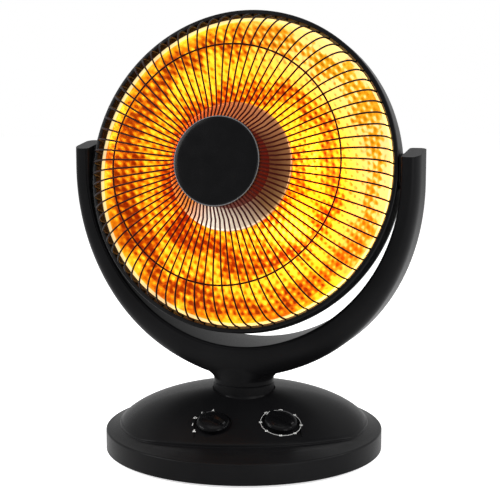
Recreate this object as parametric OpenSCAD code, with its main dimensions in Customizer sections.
// Parabolic dish heater: a wire-guarded dish in a swinging yoke on a round weighted base.
// Frame: origin on the floor under the swing axis, +Z up, front of the base towards -Y.
// The head has its own frame: X to the right, Y up the dish face, Z out of the dish.

/* [Stance] */
// Turn of the yoke from straight ahead, negative to the viewer's left
swing_rest = -23; // [-45:1:45]
// Upward tilt of the dish
tilt_rest = 12.4; // [-10:0.2:30]
// Lowest tilt of the dish
tilt_low = -10; // [-20:1:0]
// Highest tilt of the dish
tilt_high = 30; // [20:1:40]

/* [Base] */
// Outer radius of the base
base_r = 157; // [150:0.5:170]
// Height of the top of the base's side wall
side_top = 25; // [22:0.1:27]
// Height of the sloped plate where the dome starts
plate_top = 29.3; // [28:0.1:32]
// Height of the rubber feet
foot_h = 4; // [3:0.5:6]
// Gap under the skirt
skirt_gap = 2.5; // [1.5:0.1:3]
// Wall of the base cover
base_wall = 3; // [2:0.1:4]
// Width of the flat step round the dome
plate_w = 16; // [14:0.5:20]
// Spread of the dome's ellipse past the dome's foot
dome_spread = 7.5; // [5.5:0.5:15]
// Half height of the dome's ellipse
dome_b = 55.5; // [52:0.5:58]
// Height of the dome ellipse's centre
dome_z = 14.9; // [12:0.1:17]
// Distance of the panel's front edge behind the base's front edge
panel_set_back = 47; // [43:0.5:50]
// Radius of the panel's front edge less the base's radius
panel_spread = 100; // [96:0.5:106]
// Distance past the front edge at which the panel's slope would meet the plate
panel_lip = 8.2; // [6:0.1:10]
// Slope of the control panel
panel_slope = 22.5; // [20:0.5:25]
// Thickness of the bottom plate
plate_t = 2.5; // [2:0.1:4]
// Distance of the feet's middles from the base's edge
feet_inset = 25; // [20:0.5:38]
// Radius of a foot
foot_r = 9; // [6:0.5:12]
// Distance of the base screws from the base's edge
base_screw_inset = 13; // [11:0.5:15]

/* [Controls] */
// Distance of each knob from the middle
knob_x = 37; // [34:0.5:42]
// Distance of the knobs behind the panel's front edge
knob_set_back = 36; // [33:0.5:39]
// Radius of a knob
knob_r = 17.6; // [15:0.1:19]
// Height of a knob's dome above the panel
knob_h = 7.5; // [6:0.1:10]
// Height of the grip bar above the panel
grip_h = 11.5; // [10:0.1:14]
// Width of the grip bar
grip_w = 5; // [4:0.1:7]
// Depth of the recess round each knob
recess_depth = 1.6; // [1:0.1:2]
// Radius of the recess round each knob
recess_r = 20.5; // [20:0.1:22]
// Reach of the recess's tail from the knob's centre
recess_reach = 31; // [28:0.5:33]
// Radius of a control shaft
control_shaft_r = 3; // [2.5:0.1:4]
// Pointer angle of the power selector at rest
selector_angle = 150; // [90:1:210]
// Pointer angle of the timer at rest
timer_angle = 130; // [90:1:270]
// Depth of the selector switch's body
selector_depth = 16; // [12:0.5:18]
// Depth of the timer's body
timer_depth = 20; // [16:0.5:22]

/* [Swing drive] */
// Radius of the collar at the neck
collar_r = 34.8; // [34:0.1:38]
// Height of the collar
collar_h = 10.5; // [9:0.1:13]
// Outer radius of the swing spindle
spindle_r = 8; // [7:0.1:9]
// Bore radius of the swing spindle
spindle_bore_r = 5.5; // [4:0.1:6]
// Radius of the swing bearing
bearing_r = 13; // [12:0.1:14]
// Radius of the drive motor's body
motor_r = 24.5; // [22:0.1:26]
// Height of the drive motor's body
motor_h = 19.5; // [16:0.5:20]
// Distance of the motor behind the swing axis
motor_y = 62; // [58:0.5:70]
// Distance of the motor to the side of the swing axis
motor_x = -9; // [-11:0.5:-7]
// Radius from the spindle to the rocker's pin
rocker_arm_r = 16; // [15.5:0.1:18]
// Half angle of the swing
swing_half = 45; // [35:1:45]

/* [Yoke] */
// Gap between the rim band and the arms
arm_gap = 3.5; // [3:0.1:8]
// Gap between the rim band and the yoke's floor
under_gap = 13; // [9:0.5:20]
// Thickness of the arms at the tilt axis
arm_thick = 19.5; // [18.5:0.1:26]
// Thickness of the yoke at its floor
floor_thick = 34; // [30:0.5:37]
// Height of the yoke's underside above the neck's foot
neck_h = 10.7; // [9:0.1:14]
// Half depth of the arms, front to back
arm_half_depth = 22; // [20:0.1:26]
// Reach of the yoke in front of its mid-plane at the neck
neck_half_depth = 32; // [28:0.1:34]
// Reach of the yoke behind its mid-plane at the neck
rear_half_depth = 42; // [36:0.5:46]
// Power that makes the yoke's outer curve a little fuller than an ellipse
fullness = 0.97; // [0.94:0.01:1]
// Radius of the neck
neck_r = 31.5; // [29:0.1:33.5]
// Height of the arms above the tilt axis
arm_rise = 30; // [28:0.5:40]
// Fall of the arms' tops from back to front
arm_top_fall = 7; // [4:0.1:9]
// Wall of the yoke's shells
yoke_wall = 2.5; // [2:0.1:3]
// Distance behind the mid-plane of the joint between the yoke's shells
yoke_split = 12; // [11.8:0.1:14]
// Number of stations along the yoke's curve
yoke_stations = 32; // [24:2:40]

/* [Tilt joint] */
// Radius of the tilt pins
pin_r = 3.5; // [3:0.1:3.8]
// Radius of the tilt bushes
bush_r = 6; // [5.5:0.1:6.5]
// Radius from the tilt axis to the stop pins
stop_pin_arm = 15; // [14:0.1:16]
// Radius of the stop pins
stop_pin_r = 2.2; // [1.8:0.1:2.4]
// Height of the tilt brackets
bracket_h = 39; // [36:0.5:42]
// Width of the tilt brackets, front to back
bracket_w = 26; // [24:0.5:28]
// Lift of the bracket's middle above the tilt axis
bracket_lift = 5.5; // [4:0.5:7]

/* [Dish] */
// Outer radius of the rim band
rim_r = 180; // [160:0.5:200]
// Distance of the rim's front face ahead of the tilt axis
rim_front = 16; // [14:0.1:18]
// Width of the rim's front flange
rim_flange = 5; // [4:0.1:5.4]
// Depth of the rim band
rim_depth = 22; // [18:0.5:24]
// Width of the reflector's flat lip inside the rim's flange
lip_w = 7; // [5:0.1:12]
// Height of the bowl's edge ahead of the tilt axis
bowl_edge = 6; // [5:0.1:7]
// Distance of the bowl's vertex behind the tilt axis
bowl_vertex = 62; // [55:0.5:66]
// Sheet thickness of the reflector
sheet_t = 0.8; // [0.6:0.1:1]
// Radius of the hole at the bowl's vertex
bowl_hole_r = 14; // [13.4:0.1:16]
// Depth of the back shell behind its hoop
shell_depth = 77; // [74:0.5:90]
// Wall of the back shell
shell_t = 1.2; // [1:0.1:2]
// Number of vent slots in the back shell
vents = 20; // [12:2:30]
// Radius of the rear housing
housing_r = 40.5; // [36:0.5:46]
// Length of the rear housing
housing_l = 20; // [16:0.5:26]

/* [Guard] */
// Number of radial wires
wires = 80; // [60:1:90]
// Radius of a guard wire
wire_r = 1; // [0.8:0.05:1.2]
// Height of the guard's face ahead of the tilt axis
guard_front = 70; // [66:0.1:72]
// Distance of the middle ring inside the guard's edge
mid_ring_inset = 43.3; // [40:0.1:48]
// Turn of the first wire from the dish's right-hand side
wire_phase = -0.36; // [-2:0.01:2]

/* [Centre] */
// Radius of the centre cap
cap_r = 47.4; // [44:0.1:48]
// Height of the cap's face ahead of the tilt axis
cap_front = 88; // [86:0.1:92]
// Radius of the drum behind the cap
drum_r = 46; // [43:0.1:46.2]
// Radius of the heat shield
shield_r = 71; // [60:0.5:72]
// Height of the heat shield's face ahead of the tilt axis
shield_front = 46; // [44:0.1:52]
// Radius of the element's ceramic core
core_r = 15; // [12:0.1:16]
// Turns of the heating coil
coil_turns = 15; // [10:1:18]
// Radius of the heating coil's wire
coil_wire_r = 1.2; // [0.8:0.1:1.4]
// Radius of the centre rod
rod_r = 3; // [2.5:0.1:3.5]

/* [Hidden] */
$fn = 96;
fit = 0.05;        // radial running clearance
seat_gap = 0.05;   // gap between faces that meet
body_gap = 0.3;    // gap between bodies that move past each other
eps = 0.01;
screw_r = 1.5;
screw_head_r = 3;
screw_head_h = 2;

// Base heights
dome_top = dome_z + dome_b;
collar_seat = dome_top - 4.6;
collar_top = collar_seat + collar_h;
flange_t = 2;
flange_proud = 0.25;
bearing_top = collar_top + flange_proud;
neck_bottom = bearing_top + fit;
floor_top = foot_h + plate_t;

// Yoke's curves, and the height of the tilt axis above the floor
yoke_in_a = rim_r + arm_gap;
yoke_in_b = rim_r + under_gap;
yoke_out_a = yoke_in_a + arm_thick;
yoke_out_b = yoke_in_b + floor_thick;
pivot_height = neck_bottom + neck_h + yoke_out_b;

bearing_bottom = collar_seat - 16.5;
clip_t = 1.2;
clip_z = bearing_bottom - clip_t - 0.2;

// Swing drive heights
motor_foot = 2;
motor_top = floor_top + motor_foot + motor_h;
crank_z = motor_top + 1;
crank_t = 3;
link_z = crank_z + crank_t + 0.4;
link_t = 2.8;
drive_pin_r = 2.5;
rocker_z = link_z + link_t + 1.8;
rocker_t = 3;
rocker_hub_h = 6.5;
crank_arm_r = rocker_arm_r * sin(swing_half);
// The crank stands where its pin and the rocker's pin are equally far along the link.
crank_angle = asin(rocker_arm_r * sin(swing_rest) / crank_arm_r);
rocker_pin = [-rocker_arm_r * cos(swing_rest), -rocker_arm_r * sin(swing_rest)];
crank_pin = [motor_x - crank_arm_r * cos(crank_angle), motor_y - crank_arm_r * sin(crank_angle)];
spindle_bottom = rocker_z - 0.6;
spindle_top = pivot_height - yoke_in_b - 13;
cross_pin_z = spindle_top - 11;
cross_pin_r = 2;
cross_pin_l = 36;
spindle_boss_r = spindle_r + 3.6;

// Base
dome_foot_r = base_r - plate_w;
dome_a = dome_foot_r + dome_spread;
feet_pcd_r = base_r - feet_inset;
base_screw_pcd_r = base_r - base_screw_inset;

// Control panel, a cone about an upright axis behind the swing axis
panel_edge_r = base_r + panel_spread;
panel_foot_r = panel_edge_r + panel_lip;
panel_axis_y = panel_spread + panel_set_back;
knob_y = base_r - panel_set_back - knob_set_back;
panel_grade = tan(panel_slope);
knob_rho = norm([knob_x, knob_y + panel_axis_y]);
knob_turn = atan2(knob_x, knob_y + panel_axis_y);
panel_apex = plate_top + panel_foot_r * panel_grade;
knob_z = panel_apex - knob_rho * panel_grade;
pad_r = recess_r + 2;
pad_depth = 5.5;
neck_bush_r = control_shaft_r + 2.4;

// Cord inlet at the back of the base
inlet_z = 13;
inlet_bore_r = 3.6;
inlet_r = 5.8;
inlet_flange_r = 8;

// Tip-over switch
tip_pos = [base_r - 75, 34];
tip_size = [26, 18, 21];
plunger_r = 3;
plunger_flange_r = 5.4;
plunger_tip = 0.2;
tip_flange_z = floor_top + 6;
tip_roof = floor_top + tip_size.z - 3;
spring_wire_r = 0.4;
spring_coil_r = 4;
spring_turns = 7;

// Yoke
inner_wall_x = yoke_in_a + yoke_wall;
outer_wall_x = yoke_out_a - yoke_wall;
stop_pin_end = inner_wall_x + 3.7;
boss_r = bush_r + 3;
boss_end = outer_wall_x - 6.5;
washer_z = boss_end + 0.35;
washer_t = 1.1;
nut_z = washer_z + washer_t + 0.05;
nut_t = outer_wall_x - nut_z - 1;
face_screw_y = -13.5;
face_screw_heights = [-3, 14];
face_screw_r = 3.6;

// Rim stack, outwards and forwards
rim_in_r = rim_r - rim_flange;
bowl_r = rim_in_r - lip_w;
band_t = 0.8;
rim_bore_x = rim_r - 10;   // where the cuts for the tilt pins start
hoop_t = 1;
hoop_out = rim_r - band_t - 0.1;
hoop_in = hoop_out - hoop_t;
band_back = rim_front - rim_depth;
hoop_back = band_back - 2;
guard_ring_r = 1.2;
guard_seat_r = hoop_in - guard_ring_r - 0.2;
lip_out = hoop_in - 0.3;
lip_z = bowl_edge + 2;
guard_end_z = lip_z + guard_ring_r + 0.2;

// Reflector: z = a r^2 - vertex
bowl_a = (bowl_edge + bowl_vertex) / pow(bowl_r, 2);
function bowl_z(r) = bowl_a * r * r - bowl_vertex;

// Back shell: a half ellipse behind the hoop
function shell_z(r) = hoop_back - shell_depth * sqrt(max(0, 1 - pow(r / hoop_out, 2)));
shell_hole_r = 25;
housing_back = shell_z(housing_r) - housing_l;

// Guard wire profile, from the rim to the hub: leaning side, round shoulder, flat face, kink at the drum
hub_out = cap_r + 1.2;
hub_in = drum_r + 0.3;
hub_front = cap_front - 3.8;
hub_t = 2.4;
side_r = rim_in_r - wire_r - 0.2;
kink_r = 62.5;
kink_rise = 3.5;
mid_ring_r = side_r - mid_ring_inset;
shoulder_r = mid_ring_r - 23;
shoulder_steps = 6;
shoulder_drop = guard_front - lip_z - 8;
shoulder_end = asin((mid_ring_r - shoulder_r) / (side_r - 1 - shoulder_r));
function shoulder(t) = [shoulder_r + (side_r - 1 - shoulder_r) * sin(t),
                        guard_front - 0.5 - shoulder_drop * (1 - cos(t))];
wire_profile = concat(
    [[side_r, guard_end_z + 0.2]],
    [for (i = [0:shoulder_steps]) shoulder(90 - (90 - shoulder_end) * i / shoulder_steps)],
    [[mid_ring_r - 30, guard_front + 0.5],
     [kink_r, guard_front + kink_rise], [hub_out + seat_gap, hub_front - hub_t / 2]]);

// Element
element_bore = rod_r + 0.1;
holder_r = 24;
holder_back = bowl_vertex + 10;
core_back = -bowl_vertex + 12;
core_front = shield_front - 5.4;
coil_steps = 14;   // straight pieces in a turn of the coil
coil_r = (core_r + coil_wire_r + 0.2) / cos(180 / coil_steps);
coil_back = core_back + 6;
coil_front = core_front - 6;
web_t = 0.8;
drum_front = hub_front;

// ---------- shared shapes ----------

// Closed polyhedron through rings of points that all have the same count.
module skin(rings) {
    n = len(rings[0]);
    last = len(rings) - 1;
    polyhedron(
        points = [for (ring = rings) each ring],
        faces = concat(
            [[for (j = [n - 1:-1:0]) j]],
            [for (i = [0:last - 1], j = [0:n - 1])
                [i * n + j, (i + 1) * n + (j + 1) % n, (i + 1) * n + j]],
            [for (i = [0:last - 1], j = [0:n - 1])
                [i * n + j, i * n + (j + 1) % n, (i + 1) * n + (j + 1) % n]],
            [[for (j = [0:n - 1]) last * n + j]]),
        convexity = 10);
}

module tube(outer, inner, h) {
    difference() {
        cylinder(r = outer, h = h);
        translate([0, 0, -eps]) cylinder(r = inner, h = h + 2 * eps);
    }
}

// Pan-head screw: head up, its seat at z = 0, its shank downwards.
module screw(length, r = screw_r, head_r = screw_head_r, head_h = screw_head_h) {
    difference() {
        union() {
            cylinder(r = head_r, h = head_h, $fn = 32);
            translate([0, 0, -length]) cylinder(r = r, h = length + eps, $fn = 32);
        }
        for (a = [0, 90]) rotate([0, 0, a])
            translate([-head_r * 0.6, -0.4, head_h - 1]) cube([head_r * 1.2, 0.8, 2]);
    }
}

module in_yoke() rotate([0, 0, swing_rest]) children();

module at_pivot() in_yoke() translate([0, 0, pivot_height]) children();

module in_head() at_pivot() rotate([90 - tilt_rest, 0, 0]) children();

// Frame of a knob: z out of the panel, y up its slope. side is -1 for left and 1 for right.
module on_panel(side) translate([side * knob_x, -knob_y, knob_z])
    rotate([0, 0, side * knob_turn]) rotate([panel_slope, 0, 0]) children();

module both_sides() for (side = [-1, 1]) scale_x(side) children();

module scale_x(side) if (side > 0) children(); else mirror([1, 0, 0]) children();

// Turns +Z to +X, and +X to -Z.
module along_x() rotate([0, 90, 0]) children();

// ---------- base ----------

// The base's solid form, drawn in by inset on every outer face.
module base_form(inset) {
    foot_r2 = dome_foot_r - inset;
    rotate_extrude() polygon([
        [0, skirt_gap - (inset > 0 ? 1 : 0)], [base_r - inset, skirt_gap - (inset > 0 ? 1 : 0)],
        [base_r - inset, side_top - 2 - inset / 2], [base_r - 1.5 - inset, side_top - inset * 0.8],
        [dome_foot_r, plate_top - inset], [0, plate_top - inset]]);
    intersection() {
        rotate_extrude() polygon(concat(
            [[0, skirt_gap], [foot_r2, skirt_gap]],
            [for (i = [0:20]) let (a = acos(foot_r2 / (dome_a - inset)) + i / 20
                    * (90 - acos(foot_r2 / (dome_a - inset))))
                [(dome_a - inset) * cos(a), dome_z + (dome_b - inset) * sin(a)]]));
        translate([0, panel_axis_y, 0])
            cylinder(r1 = panel_foot_r + plate_top / panel_grade - inset / sin(panel_slope),
                     r2 = 0, h = panel_apex - inset / cos(panel_slope), $fn = 180);
        translate([0, panel_axis_y, 0]) cylinder(r = panel_edge_r - inset, h = panel_apex, $fn = 180);
    }
}

// Outline of the recess round a knob: a circle with a tapered tail outwards and down.
module recess_outline(side) {
    tail = -58;
    tip_r = 5;
    dist = recess_reach - tip_r;
    swing = acos((recess_r - tip_r) / dist);
    // The tail's straight sides start just inside both circles, so that they cut across them
    side_dir = 0.97 * [cos(swing), sin(swing)];
    mirrored = [side_dir.x, -side_dir.y];
    circle(r = recess_r);
    rotate([0, 0, 90 + side * (tail - 90)]) {
        translate([dist, 0]) circle(r = tip_r, $fn = 32);
        polygon([recess_r * side_dir, [dist, 0] + tip_r * side_dir,
                 [dist, 0] + tip_r * mirrored, recess_r * mirrored]);
    }
}

module base_screw_places() for (i = [0:4]) rotate([0, 0, 54 + 72 * i])
    translate([base_screw_pcd_r, 0, 0]) children();

module base_cover() color([0.13, 0.13, 0.13]) {
    boss_top = side_top + 1;
    difference() {
        union() {
            difference() {
                base_form(0);
                base_form(base_wall);
            }
            base_screw_places() translate([0, 0, floor_top]) cylinder(r = 4.5, h = boss_top - floor_top);
            translate([0, 0, collar_seat - 5]) cylinder(r = collar_r + 1, h = 5);
            translate([0, 0, bearing_bottom]) cylinder(r = bearing_r + 4, h = collar_seat - bearing_bottom);
            for (side = [-1, 1]) on_panel(side)
                translate([0, 0, -pad_depth]) cylinder(r = pad_r, h = pad_depth - recess_depth);
        }
        translate([0, 0, collar_seat]) cylinder(r = collar_r + 0.3, h = 20);
        translate([0, 0, bearing_bottom - eps]) cylinder(r = bearing_r + fit, h = 40);
        base_screw_places() translate([0, 0, floor_top - eps])
            cylinder(r = screw_r + fit, h = 10, $fn = 32);
        for (side = [-1, 1]) on_panel(side) {
            translate([0, 0, -recess_depth]) linear_extrude(height = 12) recess_outline(side);
            translate([0, 0, -30]) cylinder(r = neck_bush_r + fit, h = 40);
            for (s = [-1, 1]) translate([s * 10, 0, -30]) cylinder(r = screw_r + fit, h = 40, $fn = 32);
        }
        translate([0, base_r - 8, inlet_z]) rotate([-90, 0, 0]) cylinder(r = inlet_r + fit, h = 20);
    }
}

module feet_places() for (i = [0:3]) rotate([0, 0, 45 + 90 * i]) translate([feet_pcd_r, 0, 0]) children();

module base_plate() color([0.1, 0.1, 0.1]) {
    difference() {
        union() {
            translate([0, 0, foot_h]) cylinder(r = base_r - base_wall - 0.5, h = plate_t);
            // Standoffs for the motor's ears
            for (s = [-1, 1]) translate([motor_x + s * (motor_r + 5.5), motor_y, floor_top - eps])
                cylinder(r = 4, h = motor_foot + eps);
        }
        for (s = [-1, 1]) translate([motor_x + s * (motor_r + 5.5), motor_y, foot_h + 1])
            cylinder(r = screw_r + fit, h = 10, $fn = 32);
        base_screw_places() translate([0, 0, foot_h - 1]) cylinder(r = screw_r + 0.2, h = 10, $fn = 32);
        feet_places() translate([0, 0, foot_h - 1]) cylinder(r = foot_r / 3 + fit, h = 10);
        translate([tip_pos.x, tip_pos.y, foot_h - 1]) cylinder(r = plunger_r + body_gap, h = 10);
        // Vent slots under the drive motor
        for (i = [-3:3]) translate([motor_x + 6 * i - 1.2, motor_y - 14, foot_h - 1]) cube([2.4, 28, 10]);
    }
}

module rubber_feet() color([0.16, 0.16, 0.17]) feet_places() {
    difference() {
        cylinder(r = foot_r, h = foot_h);
        translate([0, 0, -eps]) tube(foot_r - 2, foot_r - 3, 0.6);
    }
    translate([0, 0, foot_h - eps]) cylinder(r = foot_r / 3, h = plate_t + 2);
}

module base_screws() color("silver") base_screw_places() translate([0, 0, foot_h])
    rotate([180, 0, 0]) screw(plate_t + 8.5, head_r = 2.8, head_h = 1.4);

module neck_collar() color([0.12, 0.12, 0.12]) difference() {
    rotate_extrude() polygon([
        [collar_r - 3, collar_seat], [collar_r, collar_seat], [collar_r, collar_top - 1.2],
        [collar_r - 1.2, collar_top], [neck_r - 2, collar_top], [neck_r - 2, collar_top - flange_t],
        [bearing_r + fit, collar_top - flange_t], [bearing_r + fit, collar_top - 2 * flange_t],
        [collar_r - 3, collar_top - 2 * flange_t]]);
}

module swing_bearing() color("ivory") difference() {
    union() {
        translate([0, 0, bearing_bottom]) cylinder(r = bearing_r, h = bearing_top - bearing_bottom);
        translate([0, 0, collar_top - flange_t]) cylinder(r = neck_r - 4, h = flange_t + flange_proud);
    }
    translate([0, 0, bearing_bottom - eps]) cylinder(r = spindle_r + fit, h = 60);
}

module swing_motor() color("gainsboro") translate([motor_x, motor_y, 0]) difference() {
    union() {
        translate([0, 0, floor_top + motor_foot]) cylinder(r = motor_r, h = motor_h);
        translate([0, 0, motor_top - eps]) cylinder(r = 5, h = 0.5);
        translate([0, 0, motor_top - eps]) cylinder(r = 2.95, h = crank_t + 1);
        translate([-motor_r - 9.5, -4, floor_top + motor_foot]) cube([2 * motor_r + 19, 8, 1]);
        translate([-8, motor_r - 3, floor_top + motor_foot + 3]) cube([16, 7, 12]);
    }
    for (s = [-1, 1]) translate([s * (motor_r + 5.5), 0, floor_top]) cylinder(r = 1.7, h = 10, $fn = 32);
}

module motor_screws() color("silver") for (s = [-1, 1])
    translate([motor_x + s * (motor_r + 5.5), motor_y, floor_top + motor_foot + 1])
        screw(motor_foot + 2);

// Common body of the two controls, behind the panel: its bush passes through the cover.
module control_body(size_x, size_y, depth) difference() {
    union() {
        translate([-size_x / 2, -size_y / 2, -pad_depth - depth]) cube([size_x, size_y, depth]);
        translate([0, 0, -pad_depth - eps]) cylinder(r = neck_bush_r, h = pad_depth - recess_depth);
        for (i = [-1:1]) translate([i * size_x / 4 - 2.4, -0.4, -pad_depth - depth - 5])
            cube([4.8, 0.8, 5 + eps]);
    }
    translate([0, 0, -pad_depth - depth + 3]) cylinder(r = control_shaft_r + fit, h = 40);
    for (s = [-1, 1]) translate([s * 10, 0, -pad_depth - 7]) cylinder(r = screw_r + fit, h = 10, $fn = 32);
}

module selector_switch() color("dimgray") on_panel(-1) control_body(28, 26, selector_depth);

module timer() color("gray") on_panel(1) control_body(38, 34, timer_depth);

module control_screws() color("silver") for (side = [-1, 1]) on_panel(side)
    for (s = [-1, 1]) translate([s * 10, 0, -recess_depth]) screw(pad_depth + 4, head_r = 2.6, head_h = 0.9);

module knob(angle) difference() {
    lift = -recess_depth + 1.4;
    edge = 3.4;
    union() {
        rotate_extrude() polygon(concat(
            [[0, lift], [knob_r, lift], [knob_r, edge - 0.6], [knob_r - 0.6, edge]],
            [for (i = [1:8]) [(knob_r - 1) * cos(i * 90 / 8), edge + (knob_h - edge) * sin(i * 90 / 8)]]));
        // Grip bar: an arched rib across the knob
        rotate([0, 0, angle]) translate([0, grip_w / 2, 0]) rotate([90, 0, 0])
            linear_extrude(height = grip_w) intersection() {
                translate([0, grip_h - 2.1 * knob_r]) circle(r = 2.1 * knob_r, $fn = 128);
                translate([-knob_r + 0.8, edge - 1]) square([2 * knob_r - 1.6, grip_h]);
            }
    }
    // Blind bore for the shaft, and the hollow over the screw heads
    translate([0, 0, -5]) cylinder(r = control_shaft_r + 0.02, h = 5 + knob_h - 2);
    translate([0, 0, -5]) tube(14.5, 5, 5 + 2.2);
}

module selector_knob() color([0.15, 0.15, 0.15]) on_panel(-1) knob(selector_angle);

module timer_knob() color([0.15, 0.15, 0.15]) on_panel(1) knob(timer_angle);

module control_shaft(depth) translate([0, 0, -pad_depth - depth + 3.3])
    cylinder(r = control_shaft_r, h = pad_depth + depth - 3.3 + knob_h - 2.3);

module selector_shaft() color("silver") on_panel(-1) control_shaft(selector_depth);

module timer_shaft() color("silver") on_panel(1) control_shaft(timer_depth);

module tip_switch() color([0.2, 0.2, 0.2]) translate([tip_pos.x, tip_pos.y, floor_top]) difference() {
    translate([-tip_size.x / 2, -tip_size.y / 2, 0]) cube(tip_size);
    translate([0, 0, -eps]) cylinder(r = plunger_flange_r + body_gap, h = tip_size.z - 3);
}

module tip_plunger() color("white") translate([tip_pos.x, tip_pos.y, 0]) {
    translate([0, 0, plunger_tip]) cylinder(r = plunger_r, h = tip_flange_z - plunger_tip + 2);
    translate([0, 0, tip_flange_z]) cylinder(r = plunger_flange_r, h = 1.5);
}

// Coil spring, as one unbroken wire between two heights.
function helix_point(r, z0, z1, turns, s) =
    [r * cos(360 * turns * s), r * sin(360 * turns * s), z0 + (z1 - z0) * s];

module coil(r, z0, z1, turns, wire, steps, sides) {
    count = turns * steps;
    skin([for (i = [0:count]) let (
            s = i / count,
            a = 360 * turns * s,
            centre = helix_point(r, z0, z1, turns, s),
            out = [cos(a), sin(a), 0],
            rise = (z1 - z0) / (turns * 2 * PI * r),
            along = [-sin(a), cos(a), rise] / norm([1, rise]),
            up = cross(out, along))
        [for (j = [0:sides - 1]) centre + wire * (cos(360 * j / sides) * out + sin(360 * j / sides) * up)]]);
}

module tip_spring() color("silver") translate([tip_pos.x, tip_pos.y, 0])
    coil(spring_coil_r, tip_flange_z + 1.5 + spring_wire_r + 0.1, tip_roof - spring_wire_r - 0.1,
         spring_turns, spring_wire_r, 12, 5);

module cord_inlet_bush() color([0.08, 0.08, 0.08]) translate([0, 0, inlet_z]) difference() {
    union() {
        translate([0, base_r - 13, 0]) rotate([-90, 0, 0]) cylinder(r = inlet_r, h = 13 + eps);
        translate([0, base_r, 0]) rotate([-90, 0, 0]) cylinder(r = inlet_flange_r, h = 2);
    }
    translate([0, base_r - 20, 0]) rotate([-90, 0, 0]) cylinder(r = inlet_bore_r, h = 40);
}

module terminal_block() color("ivory") translate([32, base_r - 49, floor_top]) difference() {
    cube([34, 16, 13]);
    for (i = [0:2]) translate([6 + 11 * i, 8, 5]) {
        cylinder(r = 2.4, h = 10, $fn = 32);
        translate([0, -10, -1]) rotate([-90, 0, 0]) cylinder(r = 2, h = 20, $fn = 32);
    }
}

// ---------- swing drive ----------

module motor_crank() color("white") translate([motor_x, motor_y, 0]) difference() {
    union() {
        translate([0, 0, crank_z]) cylinder(r = crank_arm_r + 4, h = crank_t);
        rotate([0, 0, 180 + crank_angle]) translate([crank_arm_r, 0, crank_z])
            cylinder(r = drive_pin_r, h = crank_t + link_t + 1.2);
    }
    translate([0, 0, crank_z - eps]) cylinder(r = 3, h = crank_t + 1);
}

module drive_link() color("silver") {
    along = rocker_pin - crank_pin;
    length = norm(along);
    translate([crank_pin.x, crank_pin.y, link_z]) rotate([0, 0, atan2(along.y, along.x)]) difference() {
        union() {
            cylinder(r = 5.5, h = link_t);
            translate([length, 0, 0]) cylinder(r = 5.5, h = link_t);
            translate([0, -4, 0]) cube([length, 8, link_t]);
        }
        translate([0, 0, -eps]) cylinder(r = drive_pin_r + fit, h = 10);
        translate([length, 0, -eps]) cylinder(r = drive_pin_r + fit, h = 10);
    }
}

module swing_spindle() color("silver") in_yoke() difference() {
    translate([0, 0, spindle_bottom]) cylinder(r = spindle_r, h = spindle_top - spindle_bottom);
    translate([0, 0, spindle_bottom - eps]) cylinder(r = spindle_bore_r, h = 200);
    translate([0, 0, clip_z - 0.05]) tube(spindle_r + 2, spindle_r - 1, clip_t + 0.1);
    translate([-30, 0, cross_pin_z]) along_x() cylinder(r = cross_pin_r + 0.02, h = 60);
}

module spindle_clip() color("dimgray") in_yoke() difference() {
    translate([0, 0, clip_z]) tube(spindle_r + 4, spindle_r - 0.95, clip_t);
    translate([0, -2, clip_z - 1]) cube([40, 4, 10]);
}

module spindle_cross_pin() color("silver") in_yoke()
    translate([-cross_pin_l / 2, 0, cross_pin_z]) along_x() cylinder(r = cross_pin_r, h = cross_pin_l);

module rocker_arm() color("silver") in_yoke() difference() {
    union() {
        translate([0, 0, rocker_z]) cylinder(r = spindle_r + 4, h = rocker_hub_h);
        translate([-rocker_arm_r, -5, rocker_z]) cube([rocker_arm_r, 10, rocker_t]);
        translate([-rocker_arm_r, 0, rocker_z]) cylinder(r = 5, h = rocker_t);
        // Short pin: it stops just over the link, which is the opened pivot of the linkage
        translate([-rocker_arm_r, 0, link_z + link_t + body_gap])
            cylinder(r = drive_pin_r, h = rocker_z - link_z - link_t);
    }
    translate([0, 0, rocker_z - 1]) cylinder(r = spindle_r + 0.02, h = 20);
}

// ---------- yoke ----------

// Station s runs from 0 at the right arm's top, round the bottom, to 1 at the left arm's top.
arm_share = 0.06;
function curve_angle(s) = -180 * (s - arm_share) / (1 - 2 * arm_share);
function arm_lift(s) = arm_rise * max(0, 1 - s / arm_share, 1 - (1 - s) / arm_share);
function bend(s) = max(-180, min(0, curve_angle(s)));
function rim_point(a, b, s, power) = let (t = bend(s))
    [a * sign(cos(t)) * pow(abs(cos(t)), power), arm_lift(s) - b * pow(abs(sin(t)), power)];
function inner_point(s) = rim_point(yoke_in_a, yoke_in_b, s, 1);
function outer_point(s) = rim_point(yoke_out_a, yoke_out_b, s, fullness);
function front_depth(s) =
    arm_half_depth + (neck_half_depth - arm_half_depth) * pow(abs(sin(bend(s))), 4);
function rear_depth(s) = arm_half_depth + (rear_half_depth - arm_half_depth) * abs(sin(bend(s)));

// A point of the yoke at station s: u across the wall from the inner face, y front to back.
function yoke_point(s, u, y) = let (
        p = inner_point(s),
        q = outer_point(s),
        m = p + (q - p) * u / norm(q - p))
    [m.x, y, m.y];
function thick(s) = norm(outer_point(s) - inner_point(s));

// Corner of a section: an arc from one edge to the next.
function corner(cu, cy, r, from, steps) =
    [for (i = [0:steps]) [cu + r * cos(from + 90 * i / steps), cy + r * sin(from + 90 * i / steps)]];

edge_in = 4;
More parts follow.
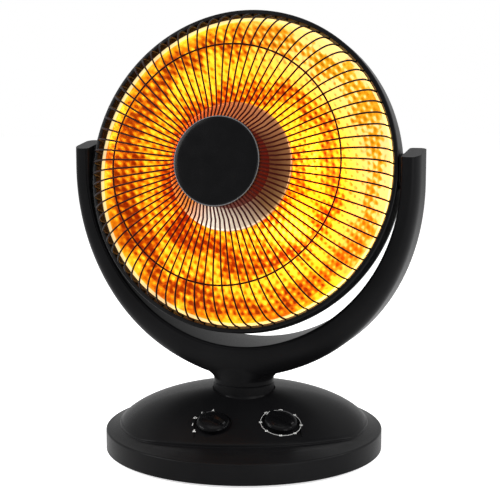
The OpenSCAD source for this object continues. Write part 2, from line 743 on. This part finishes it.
// The front face rounds off to the outer side along a quarter ellipse, which grows towards the neck
function round_from(s) = thick(s) * (0.55 - 0.2 * abs(sin(bend(s))));
function round_depth(s) = 9 + 9 * abs(sin(bend(s)));
function front_section(s, wall) = let (d = front_depth(s), t = thick(s) - wall,
        ri = max(1.2, edge_in - wall), u = round_from(s), e = round_depth(s))
    concat([[t, yoke_split + (wall > 0 ? 1 : 0)], [wall, yoke_split + (wall > 0 ? 1 : 0)]],
           corner(wall + ri, wall - d + ri, ri, 180, 3),
           [for (i = [0:5]) [u + (t - u) * sin(18 * i), e - d - (e - wall) * cos(18 * i)]]);
function rear_section(s, wall) = let (d = rear_depth(s) - wall, t = thick(s) - wall,
        r = max(1.2, edge_in - wall))
    concat([[wall, yoke_split - (wall > 0 ? 1 : 0)], [t, yoke_split - (wall > 0 ? 1 : 0)]],
           corner(t - r, d - r, r, 0, 3), corner(wall + r, d - r, r, 90, 3));

module yoke_skin(front, wall, from) skin([for (i = [0:yoke_stations]) let (
        s = from + (1 - 2 * from) * i / yoke_stations)
    [for (p = front ? front_section(s, wall) : rear_section(s, wall)) yoke_point(s, p.x, p.y)]]);

module top_cut() for (side = [-1, 1])
    translate([side * (yoke_in_a + yoke_out_a) / 2, 0, arm_rise])
        rotate([atan(arm_top_fall / (2 * arm_half_depth)), 0, 0])
            translate([-30, -60, -arm_top_fall / 2]) cube([60, 120, 30]);

cavity_from = arm_share * (arm_top_fall + yoke_wall + 3) / arm_rise;

// Concave flare that carries the neck into the yoke: an arc that ends inside the yoke's wall.
module neck_form() {
    z0 = neck_bottom - pivot_height;
    flare_r = 20;
    flare_h = neck_h + 3;
    flare_end = 65;
    flare_top = z0 + 4 + flare_h * sin(flare_end);
    rotate_extrude() polygon(concat(
        [[0, z0], [neck_r, z0]],
        [for (i = [0:5]) let (a = flare_end * i / 5)
            [neck_r + flare_r * (1 - cos(a)), z0 + 4 + flare_h * sin(a)]],
        [[neck_r, flare_top + 1], [0, flare_top + 1]]));
}

module yoke_front() color([0.14, 0.14, 0.14]) at_pivot() difference() {
    union() {
        difference() {
            union() {
                yoke_skin(true, 0, 0);
                translate([0, 0, neck_bottom - pivot_height])
                    cylinder(r = neck_r, h = pivot_height - yoke_out_b - neck_bottom - seat_gap);
                // Only the front shell carries the flare, as far back as the joint of the shells
                intersection() {
                    neck_form();
                    translate([-2 * neck_r, -neck_half_depth, -pivot_height])
                        cube([4 * neck_r, neck_half_depth + yoke_split, pivot_height]);
                }
            }
            yoke_skin(true, yoke_wall, cavity_from);
        }
        // Spindle boss
        translate([0, 0, neck_bottom - pivot_height])
            cylinder(r = spindle_boss_r, h = spindle_top - neck_bottom);
        // Tilt bush bosses, stop pin bosses and face screw bosses
        both_sides() {
            translate([inner_wall_x - 1, 0, 0]) along_x()
                cylinder(r = boss_r, h = boss_end - inner_wall_x + 1);
            translate([inner_wall_x - 1, 0, stop_pin_arm]) along_x()
                cylinder(r = 4, h = stop_pin_end - inner_wall_x + 2.3);
            for (z = face_screw_heights) translate([inner_wall_x - 1, face_screw_y, z])
                along_x() cylinder(r = 3.4, h = 9);
        }
        yoke_screw_places() translate([0, yoke_split, 0]) rotate([90, 0, 0])
            cylinder(r = 4, h = yoke_split + front_depth($station) - yoke_wall / 2);
    }
    // Hollow of the neck, open below
    translate([0, 0, neck_bottom - pivot_height - eps]) tube(neck_r - 3, spindle_boss_r + 0.5, 7);
    translate([0, 0, -pivot_height]) cylinder(r = spindle_r + 0.02, h = spindle_top + 1);
    translate([-cross_pin_l / 2 - 0.1, 0, cross_pin_z - pivot_height]) along_x()
        cylinder(r = cross_pin_r + 0.02, h = cross_pin_l + 0.2);
    both_sides() {
        translate([rim_bore_x, 0, 0]) along_x() cylinder(r = bush_r + 0.02, h = boss_end - rim_bore_x + 1);
        translate([rim_bore_x, 0, stop_pin_arm]) along_x()
            cylinder(r = stop_pin_r + 0.02, h = stop_pin_end - rim_bore_x + 1.3);
        for (z = face_screw_heights) translate([yoke_in_a - 3, face_screw_y, z]) along_x() {
            cylinder(r = face_screw_r + 0.1, h = 4.6);
            cylinder(r = screw_r + fit, h = 13, $fn = 32);
        }
    }
    yoke_screw_places() translate([0, yoke_split + 1, 0]) rotate([90, 0, 0])
        cylinder(r = screw_r + fit, h = 16, $fn = 32);
    top_cut();
}

// Places of the screws that hold the rear cover, along the middle of the yoke's wall.
module yoke_screw_places() for ($station = [0.16, 0.36, 0.64, 0.84])
    let (p = yoke_point($station, thick($station) / 2, 0)) translate([p.x, 0, p.z]) children();

module yoke_rear() color([0.14, 0.14, 0.14]) at_pivot() difference() {
    union() {
        difference() {
            yoke_skin(false, 0, 0);
            yoke_skin(false, yoke_wall, cavity_from);
        }
        yoke_screw_places() translate([0, yoke_split, 0]) rotate([-90, 0, 0])
            cylinder(r = 5.5, h = rear_depth($station) - yoke_split - yoke_wall / 2);
    }
    yoke_screw_places() {
        translate([0, yoke_split - 1, 0]) rotate([-90, 0, 0]) cylinder(r = screw_r + 0.2, h = 40, $fn = 32);
        translate([0, yoke_split + 2.5, 0]) rotate([-90, 0, 0]) cylinder(r = screw_head_r + 0.4, h = 40);
    }
    top_cut();
}

module yoke_screws() color("silver") at_pivot() yoke_screw_places()
    translate([0, yoke_split + 2.5, 0]) rotate([-90, 0, 0]) screw(14);

module arm_face_screws() color("dimgray") at_pivot() both_sides() for (z = face_screw_heights)
    translate([yoke_in_a + 1.6, face_screw_y, z]) rotate([0, -90, 0])
        screw(7, head_r = face_screw_r, head_h = 1.4);

// ---------- tilt joint ----------

module tilt_bushes() color("ivory") at_pivot() both_sides()
    translate([yoke_in_a, 0, 0]) along_x() tube(bush_r, pin_r + fit, boss_end - yoke_in_a);

module stop_pins() color("silver") at_pivot() both_sides()
    translate([rim_r + 0.7, 0, stop_pin_arm]) along_x()
        cylinder(r = stop_pin_r, h = stop_pin_end - rim_r - 0.7);

module tilt_brackets() color([0.12, 0.12, 0.12]) in_head() both_sides() difference() {
    // The bracket clears the arm's curve at its lowest reach, however far the dish is tilted
    reach = bracket_lift + bracket_h / 2;
    bracket_out = yoke_in_a * sqrt(1 - pow(reach / yoke_in_b, 2)) - body_gap;
    // A pad with round ends, hollowed to the rim band that it is fixed to
    translate([rim_r - 5, 0, 0]) along_x() linear_extrude(height = bracket_out - rim_r + 5) {
        for (s = [-1, 1]) translate([-1, bracket_lift + s * (bracket_h / 2 - bracket_w / 2)])
            circle(r = bracket_w / 2);
        translate([-1 - bracket_w / 2, bracket_lift - bracket_h / 2 + bracket_w / 2])
            square([bracket_w, bracket_h - bracket_w]);
    }
    translate([0, 0, -40]) cylinder(r = rim_r + 0.1, h = 80, $fn = 180);
    translate([rim_bore_x, 0, 0]) along_x() cylinder(r = pin_r + 0.02, h = 30);
    // Arc slot for the stop pin, with a square end past the pin's place at each limit
    slot_half = stop_pin_r + body_gap;
    slot_over = 1 + asin(slot_half / (stop_pin_arm - slot_half));
    translate([rim_r + 0.3, 0, 0]) along_x() rotate([0, 0, 90 + tilt_low - slot_over])
        rotate_extrude(angle = tilt_high - tilt_low + 2 * slot_over)
            translate([stop_pin_arm - slot_half, 0]) square([2 * slot_half, 10]);
}

module tilt_pins() color("silver") in_head() both_sides() {
    translate([hoop_in - 3, 0, 0]) along_x() cylinder(r = 4.6, h = 2.6);
    translate([hoop_in - 3, 0, 0]) along_x() cylinder(r = pin_r, h = outer_wall_x - 1 - hoop_in + 3);
}

module friction_washers() color("silver") in_head() both_sides()
    translate([washer_z, 0, 0]) along_x() tube(bush_r + 1.5, pin_r + 0.02, washer_t);

module lock_nuts() color("gray") in_head() both_sides() translate([nut_z, 0, 0]) along_x() difference() {
    cylinder(r = 6.9, h = nut_t, $fn = 6);
    translate([0, 0, -eps]) cylinder(r = pin_r + 0.02, h = nut_t + 1);
}

// ---------- head ----------

module rim_band() color([0.08, 0.08, 0.08]) in_head() difference() {
    rotate_extrude() polygon([
        [rim_in_r, rim_front - 1], [rim_in_r + 0.5, rim_front], [rim_r - 1.2, rim_front],
        [rim_r, rim_front - 1.2], [rim_r, band_back], [rim_r - band_t, band_back],
        [rim_r - band_t, rim_front - 1.2], [rim_in_r, rim_front - 1.2]]);
    both_sides() translate([rim_bore_x, 0, 0]) along_x() cylinder(r = pin_r + 0.02, h = 30);
}

module reflector() color([0.95, 0.7, 0.2]) in_head() {
    steps = 22;
    radii = [for (i = [0:steps]) bowl_hole_r + (bowl_r - bowl_hole_r) * i / steps];
    rotate_extrude($fn = 128) polygon(concat(
        [for (r = radii) [r, bowl_z(r)]],
        [[lip_out, lip_z], [lip_out, lip_z - sheet_t], [bowl_r + 0.4, bowl_edge - sheet_t]],
        [for (i = [steps:-1:0]) [radii[i], bowl_z(radii[i]) - sheet_t]]));
}

module back_shell() color([0.1, 0.1, 0.1]) in_head() difference() {
    steps = 10;
    turn_end = acos(shell_hole_r / hoop_out);
    rotate_extrude($fn = 128) polygon(concat(
        [[hoop_in, rim_front - 1.3], [hoop_out, rim_front - 1.3]],
        [for (i = [0:steps]) let (r = hoop_out * cos(turn_end * i / steps)) [r, shell_z(r)]],
        [for (i = [steps:-1:0]) let (a = turn_end * i / steps, r = hoop_out * cos(a))
            [r - shell_t * cos(a) * 0.9, shell_z(r) + shell_t * sin(a)]]));
    for (i = [0:vents - 1]) rotate([0, 0, 360 * (i + 0.5) / vents]) translate([0, 0, -200])
        linear_extrude(height = 180) {
            translate([62, -2]) square([34, 4]);
            for (x = [62, 96]) translate([x, 0]) circle(r = 2, $fn = 32);
        }
    both_sides() translate([rim_bore_x, 0, 0]) along_x() cylinder(r = pin_r + 0.02, h = 30);
    rear_screw_places() translate([0, 0, -150]) cylinder(r = screw_r + fit, h = 100, $fn = 32);
}

module rear_screw_places() for (i = [0:2]) rotate([0, 0, 90 + 120 * i])
    translate([housing_r - 7, 0, 0]) children();

module rear_housing() color([0.1, 0.1, 0.1]) in_head() difference() {
    union() {
        rotate_extrude() polygon([
            [housing_r - 2.4, shell_z(housing_r - 2.4) - seat_gap - 0.25],
            [housing_r, shell_z(housing_r) - seat_gap],
            [housing_r, housing_back + 5], [housing_r - 1.5, housing_back + 1.5],
            [housing_r - 5, housing_back], [0, housing_back], [0, housing_back + 2.4],
            [housing_r - 6, housing_back + 2.4], [housing_r - 2.4, housing_back + 6]]);
        rear_screw_places() translate([0, 0, housing_back + 1])
            cylinder(r = 4, h = shell_z(housing_r - 11) - housing_back - 3.5);
    }
    rear_screw_places() {
        translate([0, 0, housing_back - 1]) cylinder(r = screw_r + 0.2, h = 60, $fn = 32);
        translate([0, 0, housing_back - 1]) cylinder(r = screw_head_r + 0.3, h = 4);
    }
}

module rear_screws() color("silver") in_head() rear_screw_places()
    translate([0, 0, housing_back + 3]) rotate([180, 0, 0]) screw(housing_l - 1);

// ---------- guard ----------

module guard_wire() {
    n = len(wire_profile);
    sides = 4;
    corner_r = 1.25 * wire_r;   // a square of about the round wire's area
    skin([for (i = [0:n - 1]) let (
            before = wire_profile[max(0, i - 1)],
            after = wire_profile[min(n - 1, i + 1)],
            dir = (after - before) / norm(after - before),
            normal = [-dir.y, dir.x],
            p = wire_profile[i])
        [for (j = [0:sides - 1]) let (a = 45 + 360 * j / sides, u = corner_r * cos(a))
            [p.x + normal.x * u, corner_r * sin(a), p.y + normal.y * u]]]);
}

module guard_wires() color([0.2, 0.12, 0.1]) in_head()
    for (i = [0:wires - 1]) rotate([0, 0, wire_phase + 360 * i / wires]) guard_wire();

module wire_ring(r, z, wire) translate([0, 0, z]) rotate_extrude($fn = 128)
    translate([r, 0]) circle(r = wire, $fn = 24);

module guard_rings() color([0.2, 0.12, 0.1]) in_head() {
    wire_ring(guard_seat_r, guard_end_z, guard_ring_r);
    wire_ring(mid_ring_r, shoulder(shoulder_end).y - 2 * wire_r - 0.15, wire_r);
}

module guard_hub() color([0.1, 0.1, 0.1]) in_head()
    translate([0, 0, hub_front - hub_t]) tube(hub_out, hub_in, hub_t);

// ---------- centre ----------

module centre_cap() color([0.07, 0.07, 0.07]) in_head() rotate_extrude($fn = 128) polygon([
    [0, drum_front + seat_gap], [cap_r - 1.2, drum_front + seat_gap], [cap_r, drum_front + 1],
    [cap_r, cap_front - 1], [cap_r - 0.8, cap_front - 0.2], [cap_r - 12, cap_front], [0, cap_front + 0.4]]);

module cap_trim() color("silver") in_head() translate([0, 0, drum_front + 0.4])
    tube(cap_r + 0.9, cap_r + 0.02, 2);

module cap_drum() color([0.35, 0.03, 0.02]) in_head() difference() {
    drum_h = drum_front - shield_front;
    translate([0, 0, shield_front + seat_gap]) cylinder(r = drum_r, h = drum_h - seat_gap);
    translate([0, 0, shield_front - 1]) cylinder(r = drum_r - web_t, h = drum_h + 1 - web_t);
    translate([0, 0, 0]) cylinder(r = element_bore, h = 100, $fn = 48);
}

module heat_shield() color([0.85, 0.78, 0.72]) in_head() rotate_extrude($fn = 128) polygon([
    [element_bore, shield_front], [shield_r - 3, shield_front], [shield_r - 0.8, shield_front - 0.8],
    [shield_r, shield_front - 3], [shield_r - sheet_t, shield_front - 3],
    [shield_r - 1.4, shield_front - 1.4], [shield_r - 3, shield_front - sheet_t],
    [element_bore, shield_front - sheet_t]]);

module element_core() color("ivory") in_head() rotate_extrude() polygon([
    [element_bore, core_back + seat_gap], [core_r + 4, core_back + seat_gap], [core_r + 4, core_back + 3],
    [core_r, core_back + 4], [core_r, core_front - 3], [core_r + 4, core_front - 2],
    [core_r + 4, core_front], [element_bore, core_front]]);

module element_coil() color("orangered") in_head()
    coil(coil_r, coil_back, coil_front, coil_turns, coil_wire_r, coil_steps, 6);

module element_holder() color("ivory") in_head() rotate_extrude() polygon([
    [element_bore, -holder_back], [holder_r, -holder_back], [holder_r, -bowl_vertex - sheet_t - seat_gap],
    [bowl_hole_r - 0.5, -bowl_vertex - sheet_t - seat_gap], [bowl_hole_r - 0.5, core_back],
    [element_bore, core_back]]);

module centre_rod() color("silver") in_head() translate([0, 0, -holder_back - 9])
    cylinder(r = rod_r, h = drum_front - 0.3 + holder_back + 9);

module rod_nuts() color("silver") in_head() {
    for (z = [-holder_back - 5.05, core_front + 0.05, shield_front + 0.05, drum_front - web_t - 5.05])
        translate([0, 0, z]) difference() {
            thin = shield_front - sheet_t - core_front - 0.1;
            cylinder(r = 6, h = z == core_front + 0.05 ? thin : 5, $fn = 6);
            translate([0, 0, -1]) cylinder(r = rod_r + 0.02, h = 20, $fn = 48);
        }
}

module thermal_cutout() color("dimgray") in_head() {
    r = 58;
    rotate([0, 0, 35]) translate([r, 0, bowl_z(r - 8) - sheet_t - 7.2]) {
        cylinder(r = 8, h = 6);
        translate([-11, -4, 5.4]) cube([22, 8, 0.6]);
        for (s = [-1, 1]) translate([s * 4 - 0.4, -2.4, -6]) cube([0.8, 4.8, 6 + eps]);
    }
}

base_cover();
base_plate();
rubber_feet();
base_screws();
neck_collar();
swing_bearing();
swing_motor();
motor_screws();
selector_switch();
timer();
control_screws();
tip_switch();
tip_spring();
cord_inlet_bush();
terminal_block();
selector_knob();
selector_shaft();
timer_knob();
timer_shaft();
tip_plunger();
motor_crank();
drive_link();
swing_spindle();
spindle_clip();
spindle_cross_pin();
rocker_arm();
yoke_front();
yoke_rear();
yoke_screws();
arm_face_screws();
tilt_bushes();
stop_pins();
rim_band();
reflector();
back_shell();
rear_housing();
rear_screws();
tilt_brackets();
tilt_pins();
friction_washers();
lock_nuts();
guard_wires();
guard_rings();
guard_hub();
centre_cap();
cap_trim();
cap_drum();
heat_shield();
element_core();
element_coil();
element_holder();
centre_rod();
rod_nuts();
thermal_cutout();
